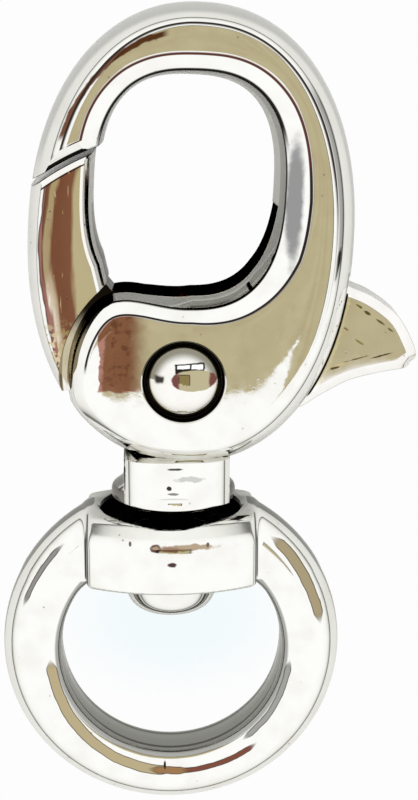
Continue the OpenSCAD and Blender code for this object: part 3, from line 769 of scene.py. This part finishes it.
def dome_marks(tree, place, colour):
    """Painted reflection of the room in the dome: a tan card with brown ends, framed windows above
    it, white below, a grey band and a dark patch; and painted shade round its edge.
    """
    x, y, z = coordinates(tree, place)
    pivot_r = from_pivot(tree, x, y)
    across, up = [add(tree, MATH, {0: measure, 1: PIVOT[k]}, operation="SUBTRACT")
                  for k, measure in enumerate((x, y))]
    across, up = shaken(tree, across, place, 1.1, 0.1), shaken(tree, up, place, 0.8, 0.12)
    front = where(tree, (z, 4.4, 4.5))
    card = paint_all(tree, "#b6ad8c", ("#744742", (across, -0.35, -0.6)), ("#744742", (across, 2.05, 2.3)))
    return paint_all(
        tree, colour,
        ("#8d8a7c", front, (up, 0.2, 0.35), (pivot_r, 1.9, 2.7)),
        ("#23201d", front, *band(across, -0.75, 1.75), *band(up, 0.9, 1.75)),
        ("#ffffff", front, *band(across, -0.55, 0.5), *band(up, 1.3, 1.62)),
        ("#ffffff", front, *band(across, 0.65, 1.6), *band(up, 1.25, 1.62)),
        ("#3c3934", front, *band(across, -2.5, -1.7, 0.15), *band(up, 0.05, 0.7, 0.15)),
        (card, front, spot(tree, place, PIVOT[0] + 0.85, PIVOT[1] + 0.3, 1.95, 0.92, soft=0.05, ragged=0.05)),
        ("#191613", front, (pivot_r, DOME_R - 0.1, DOME_R - 0.03)))


finish_piece(rivet, plate("rivet_plate", "#f1f0ec", 0.04, dome_marks, waves=0.1, pits=0.3),
             "hook", "gate_rivet")


# Gate spring: a coil of drawn steel wire in the gate's hub, which keeps the gate shut. It is
# hidden, so it keeps its CAD shape. Drawn wire looks grey and half matt.
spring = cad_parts["gate_spring"]
steel, tree, place = new_material("spring_steel")
drawn = add(tree, NOISE, {"Vector": place, "Scale": 0.9 / MM})
dull = add(tree, MAP, {"Value": drawn, "From Min": 0.3, "From Max": 0.7, "To Min": 0.25, "To Max": 0.4},
           interpolation_type="SMOOTHSTEP")
shader = add(tree, "ShaderNodeBsdfPrincipled", {
    "Base Color": paint(tree, "#6f6c68", "#a09c96", drawn), "Metallic": 1.0, "Roughness": dull})
add(tree, "ShaderNodeOutputMaterial", {"Surface": shader})
spring.data.materials.clear()
spring.data.materials.append(steel)


# Swivel rivet: turned steel, plated bright, with a round button head below the eye's boss. Its
# stem runs through the boss into the hook, where the end is peened over.
BUTTON_R = 4.15
BUTTON_BASE = 6.9
BUTTON_H = 3.7
STEM_R = 2.0

quarter = np.linspace(0, math.pi / 2, 60)[:-1]
button = [(BUTTON_R * math.sin(a) ** 0.6, BUTTON_BASE - BUTTON_H * math.cos(a) ** 0.6) for a in quarter]
button += [(BUTTON_R, BUTTON_BASE), (STEM_R, BUTTON_BASE), (STEM_R, 18.4), (2.6, 19.3), (0, 19.3)]
swivel = lathe("swivel_rivet_turned", button, lambda u, v, h: (u, h, v))
shade(swivel)


def button_marks(tree, place, colour):
    """Painted shade: grey round the button, the boss's shadow on it, and on the stem dark grey with
    pale highlights.
    """
    x, y, z = coordinates(tree, place)
    low, lower_end = where(tree, (z, 0.9, 0.7)), where(tree, (y, 3.42, 3.34))
    rim = add(tree, MATH, {0: low, 1: lower_end}, operation="MAXIMUM")
    # painted shade on the stem, dark grey with pale highlights
    shade_and_glints = paint(tree, "#5f594c", "#d8d2b8", (shake(tree, place, 1.5, 1.0), 0.0, 0.5))
    return paint_all(
        tree, colour,
        ("#8b8b88", rim),
        ("#3e3b38", spot(tree, place, -0.2, 6.75, 2.6, 0.2, ragged=0.4)),
        (shade_and_glints, (y, 8.0, 8.2), (y, 13.0, 12.9)))


finish_piece(swivel, plate("swivel_rivet_plate", "#efefec", 0.05, button_marks, waves=0.2, pits=0.3),
             "hook", "swivel_rivet")


# Eye: the round strap ring with crossbar and boss, die-cast as one piece with soft blends where
# the forms meet, and plated bright. It turns on the swivel rivet. It is meshed from its
# distance field, so its normals are exact.
RING_R = 12.7
RING_HALF = 2.6
BAR_Y = 9.8
BOSS_Y = 10.1
BOSS_HALF_W = 7.45
BOSS_HALF_T = 7.4
CUP_FLOOR_Y = 10.6
CUP_R = 6.1
BORE = 2.06


def soft_min(a, b, k):
    h = np.clip(0.5 + 0.5 * (b - a) / k, 0, 1)
    return b + (a - b) * h - k * h * (1 - h)


def soft_max(a, b, k):
    return -soft_min(-a, -b, k)


def box_field(x, y, z, mid, half, r):
    """Distance to a box with edges rounded by r."""
    q = [np.abs(v - m) - (s - r) for v, m, s in zip((x, y, z), mid, half)]
    out = np.sqrt(sum(np.maximum(v, 0) ** 2 for v in q))
    return out + np.minimum(np.maximum(np.maximum(q[0], q[1]), q[2]), 0) - r


def eye_field(x, y, z):
    """Distance in millimetres to the eye's surface, negative inside."""
    r = np.hypot(x, y)
    ring = np.hypot(r - RING_R, z) - RING_HALF
    flat_q = (np.abs(r - 11.7) - (1.7 - 0.75), np.abs(z) - (2.52 - 0.75))
    flat = (np.hypot(np.maximum(flat_q[0], 0), np.maximum(flat_q[1], 0))
            + np.minimum(np.maximum(*flat_q), 0) - 0.75)
    ring = soft_min(ring, flat, 0.5)
    bar = box_field(x, y, z, (0, BAR_Y, 0), (12.6, 2.8, 2.4), 1.4)
    around = np.hypot(np.maximum(r - RING_R, 0), z) - 2.58
    body = soft_max(soft_min(ring, bar, 2.0), around, 0.3)

    # The boss is lens-shaped seen along the swivel axis, with bevelled upper edges.
    sag = BOSS_HALF_T - 2 * BOSS_HALF_W * 0.36
    arc_r = (BOSS_HALF_W ** 2 + sag ** 2) / (2 * sag)
    lens = np.maximum(np.hypot(x, z + arc_r - BOSS_HALF_T), np.hypot(x, z - arc_r + BOSS_HALF_T)) - arc_r
    top = (y + lens - 11.5) / 1.4142
    plan = soft_max(lens, np.abs(x) - BOSS_HALF_W, 0.5)
    plan = soft_max(plan, top, 0.5)
    boss = soft_max(plan, np.abs(y - BOSS_Y) - 3.1, 0.5)
    body = soft_min(body, boss, 0.7)

    # Its top has a round cup with a bevelled lip, and the bore for the rivet.
    q = np.hypot(x, z)
    cup = np.maximum(q - CUP_R, CUP_FLOOR_Y - y)
    lip = (q - y + 13.2 - 6.5) / 1.4142
    body = soft_max(body, -soft_min(cup, lip, 0.1), 0.25)
    bore = np.maximum(q - BORE, 4 - y)
    return soft_max(body, -bore, 0.12)


def gradient(field, points, reach=0.01):
    parts = []
    for axis in range(3):
        shift = np.zeros(3)
        shift[axis] = reach
        parts.append((field(*(points + shift).T) - field(*(points - shift).T)) / (2 * reach))
    return np.stack(parts, axis=1)


def field_mesh(name, field, low, high, step):
    """Closed quad mesh on the zero surface of a field, moved onto it exactly, with its normals."""
    axes = [np.arange(a, b + step, step) for a, b in zip(low, high)]
    value = field(*np.meshgrid(*axes, indexing="ij"))
    inside = value < 0
    shape = tuple(np.array(value.shape) - 1)
    total, hits = np.zeros((*shape, 3)), np.zeros(shape)
    crossings = []
    for axis in range(3):
        lo, hi = [slice(None)] * 3, [slice(None)] * 3
        lo[axis], hi[axis] = slice(None, -1), slice(1, None)
        a, b = value[tuple(lo)], value[tuple(hi)]
        i, j, k = np.nonzero(inside[tuple(lo)] != inside[tuple(hi)])
        p = np.stack([i, j, k], axis=1).astype(float)
        p[:, axis] += a[i, j, k] / (a[i, j, k] - b[i, j, k])
        others = [o for o in range(3) if o != axis]
        cells = []
        for shift in ((0, 0), (-1, 0), (-1, -1), (0, -1)):
            cell = np.stack([i, j, k], axis=1)
            cell[:, others] += shift
            np.add.at(total, tuple(cell.T), p)
            np.add.at(hits, tuple(cell.T), 1)
            cells.append(cell)
        flip = inside[tuple(lo)][i, j, k] != (axis == 1)
        crossings.append((cells, flip))
    index = -np.ones(shape, int)
    used = np.nonzero(hits)
    index[used] = np.arange(len(used[0]))
    points = total[used] / hits[used][:, None] * step + np.array(low)
    for _ in range(4):
        grad = gradient(field, points)
        size = np.sum(grad * grad, axis=1, keepdims=True)
        move = field(*points.T)[:, None] * grad / np.maximum(size, 0.25)
        points -= np.clip(move, -step / 2, step / 2)
    faces = []
    for cells, flip in crossings:
        quad = np.stack([index[tuple(c.T)] for c in cells], axis=1)
        quad[~flip] = quad[~flip][:, ::-1]
        faces += quad.tolist()
    mesh = bpy.data.meshes.new(name)
    mesh.from_pydata((points * MM).tolist(), [], faces)
    mesh.polygons.foreach_set("use_smooth", [True] * len(mesh.polygons))
    normals = gradient(field, points)
    normals /= np.linalg.norm(normals, axis=1, keepdims=True)
    mesh.normals_split_custom_set_from_vertices(normals.tolist())
    obj = bpy.data.objects.new(name, mesh)
    bpy.context.scene.collection.objects.link(obj)
    return obj


eye = field_mesh("eye_casting", eye_field, (-15.7, -15.7, -7.8), (15.7, 13.6, 7.8), 0.2)


def eye_marks(tree, place, colour):
    """Painted shade and reflections: the dark cup, dark lines beside the boss, the grey outline,
    grey walls with dark bands, and reflection streaks that follow the ring.
    """
    x, y, z = coordinates(tree, place)
    ring_r = flat_length(tree, x, y)
    radius = shaken(tree, ring_r, place, 0.6, 0.06)
    angle = add(tree, MATH, {0: y, 1: x}, operation="ARCTAN2")
    angle = add(tree, MATH, {0: angle, 1: 180 / math.pi}, operation="MULTIPLY")
    side = add(tree, MATH, {0: x}, operation="ABSOLUTE")
    front = where(tree, (z, 0.4, 0.6))
    wall = where(tree, (ring_r, 10.6, 10.4), (y, 6.8, 6.6))
    colour = paint_all(
        tree, colour,
        ("#0d0c0b", (flat_length(tree, x, z), 6.34, 6.28), (y, 10.3, 10.5)),
        ("#1b1918", (z, 2.6, 2.8), *band(side, 7.28, 7.7, 0.05), (y, 6.9, 7.0)),
        ("#92928f", (ring_r, 15.08, 15.13), *band(z, -0.7, 1.3, 0.2)),
        ("#a3a39f", wall),
        ("#5a5955", wall, *band(z, 1.1, 1.5, 0.1)),
        ("#6b6a66", wall, *band(z, -1.6, -1.3, 0.1)))

    # Painted reflection streaks run from one angle to another between two radii. Each has a thin dark edge.
    for low, high, start_r, end_r, half, code in (
            (12, 48, 13.6, 13.85, 0.38, "#a29576"), (-174, -92, 10.95, 11.75, 0.42, "#b3a582"),
            (-94, -52, 11.8, 11.95, 0.2, "#7a4a3c"), (-99, -84, 11.75, 11.8, 0.3, "#97744f"),
            (135, 160, 13.9, 13.9, 0.14, "#8c8b87"), (-52, -8, 10.9, 10.7, 0.22, "#9a9a96")):
        reach = where(tree, *band(angle, low, high, 3.0))
        middle = add(tree, MAP, {"Value": angle, "From Min": low, "From Max": high, "To Min": start_r,
                                 "To Max": end_r}, interpolation_type="SMOOTHSTEP")
        off = add(tree, MATH, {0: radius, 1: middle}, operation="SUBTRACT")
        off = add(tree, MATH, {0: off}, operation="ABSOLUTE")
        width = add(tree, MATH, {0: reach, 1: half}, operation="MULTIPLY")
        past = add(tree, MATH, {0: off, 1: width}, operation="SUBTRACT")
        colour = paint_all(tree, colour, ("#4b4238", front, reach, (past, 0.10, 0.04)),
                           (code, front, reach, (past, 0.03, -0.03)))
    colour = paint(tree, colour, "#26221f", front, spot(tree, place, -0.7, -11.25, 0.12, 0.4, ragged=0.3))
    # painted reflection marks on the boss's front, most along its upper edge
    return specks(
        tree, place, colour, (z, 4.4, 4.6), 0.45,
        (-1.35, 11.3, 0.5, 0.3, 0, "#5f403c"), (1.5, 11.35, 2.6, 0.24, 0, "#b09d84"),
        (-0.2, 11.2, 0.8, 0.22, 0, "#9a7c6c"), (0.0, 9.85, 0.42, 0.2, 0, "#4f3a39"),
        (-3.6, 11.6, 0.1, 0.16, 0, "#6b6762"), (3.1, 11.5, 0.14, 0.2, 0, "#6b6258"))


finish_piece(eye, plate("eye_plate", "#f1f1ee", 0.06, eye_marks, pits=0.8), "eye", "swivel_eye")


# Light tent: white cloth, grey toward the floor. The card above the hook is streaked tan with a
# narrow dark edge, cut off below and at its lower left. Camera rays see plain white.
world = bpy.data.worlds.new("tent")
bpy.context.scene.world = world
world.use_nodes = True
tree = world.node_tree
tree.nodes.clear()
way = add(tree, "ShaderNodeTexCoord", out="Generated")
east, north, up = add(tree, "ShaderNodeSeparateXYZ", {0: way}).node.outputs
tent = set_stops(add(tree, "ShaderNodeValToRGB", {"Fac": up}), (
    (0.0, "#7d7d7a"), (0.03, "#6a6a67"), (0.06, "#92928f"), (0.1, "#cacac7"), (0.2, "#eeeeeb"),
    (0.35, "#fafaf8"), (0.6, "#ffffff")))

# u and v are the place on a ceiling at height 1: to the right, and up in the photo's view.
safe_up = add(tree, MATH, {0: up, 1: 0.05}, operation="MAXIMUM")
u, v = [add(tree, MATH, {0: part, 1: safe_up}, operation="DIVIDE") for part in (east, north)]
side = add(tree, MATH, {0: u, 1: 0.04}, operation="SUBTRACT")
side = add(tree, MATH, {0: side}, operation="ABSOLUTE")
side = add(tree, MATH, {0: side, 1: 0.19}, operation="SUBTRACT")
far = add(tree, MATH, {0: v, 1: 0.13}, operation="SUBTRACT")
outside_card = add(tree, MATH, {0: side, 1: far}, operation="MAXIMUM")

# The card's lower end is ragged. It rises toward the right and then steps down.
near = add(tree, NOISE, {"Vector": way, "Scale": 40.0, "Detail": 3.0})
near = add(tree, MATH, {0: near, 1: 0.5}, operation="SUBTRACT")
near = add(tree, MATH, {0: near, 1: 0.012, 2: v}, operation="MULTIPLY_ADD")
for low, high, rise, operation in ((0.068, 0.1, 0.03, "SUBTRACT"), (0.1, 0.106, 0.06, "ADD")):
    step = add(tree, MAP, {"Value": u, "From Min": low, "From Max": high, "To Max": rise},
               interpolation_type="SMOOTHSTEP")
    near = add(tree, MATH, {0: near, 1: step}, operation=operation)
corner = where(tree, (u, -0.036, -0.038), (v, -0.185, -0.19))
no_corner = add(tree, MATH, {0: 1.0, 1: corner}, operation="SUBTRACT")
on_card = where(tree, (near, -0.252, -0.248), no_corner)
stretch = add(tree, "ShaderNodeMapping", {"Vector": way, "Scale": (60.0, 9.0, 1.0)})
streak = add(tree, NOISE, {"Vector": stretch, "Scale": 1.0, "Detail": 3.0})
seen = add(tree, "ShaderNodeLightPath", out="Is Camera Ray")
sky = paint_all(
    tree, tent,
    ("#4a463d", on_card, *band(outside_card, 0.0, 0.035, 0.006)),
    (paint(tree, "#b5aa86", "#bfb592", (streak, 0.35, 0.65)), on_card, (outside_card, 0.005, -0.005)),
    ("#f4f4f4", seen))
background = add(tree, "ShaderNodeBackground", {"Color": sky, "Strength": 1.12})
add(tree, "ShaderNodeOutputWorld", {"Surface": background})


# Floor: a large sheet of matt white paper that the hook lies on. Camera rays see it white,
# faintly blue inside the eye, and it keeps a soft grey in the plate.
FLOOR_Z = -7.42
FLOOR_R = 400

paper, tree, place = new_material("paper")
seen = add(tree, "ShaderNodeLightPath", out="Is Camera Ray")
cool = paint(tree, "#fdfdfd", "#f2fafc", spot(tree, place, 0.5, -0.5, 8.5, 6.0, soft=0.6, ragged=0.1))
white = add(tree, "ShaderNodeEmission", {"Color": cool, "Strength": 1.0})
matt = add(tree, "ShaderNodeBsdfDiffuse", {"Color": linear("#efefed")})
mix = add(tree, "ShaderNodeMixShader", {0: seen, 1: matt, 2: white})
add(tree, "ShaderNodeOutputMaterial", {"Surface": mix})
floor = prism("floor", [(-FLOOR_R, -FLOOR_R), (FLOOR_R, -FLOOR_R), (FLOOR_R, FLOOR_R), (-FLOOR_R, FLOOR_R)],
              lambda u, v, w: (u, v, w), FLOOR_Z - 2, FLOOR_Z)
floor.data.materials.append(paper)


# Camera: the photo's view, from above the hook's tip, in millimetres.
CAMERA_AT = (-1.95, 59.24, 145.7)
LOOK_AT = (3.44, 22.60, 0.0)

camera = bpy.data.cameras.new("camera")
camera.sensor_fit = "VERTICAL"
camera.sensor_height = 36.0
camera.lens = 76.6
camera.clip_start = 0.01
viewer = bpy.data.objects.new("camera", camera)
viewer.location = Vector(CAMERA_AT) * MM
look = (Vector(LOOK_AT) - Vector(CAMERA_AT)).normalized()
right = look.cross(Vector((0, 1, 0))).normalized()
viewer.rotation_euler = Matrix((right, right.cross(look), -look)).transposed().to_euler()
bpy.context.scene.collection.objects.link(viewer)
bpy.context.scene.camera = viewer

bpy.context.scene.view_settings.view_transform = "Standard"
bpy.context.scene.view_settings.look = "None"
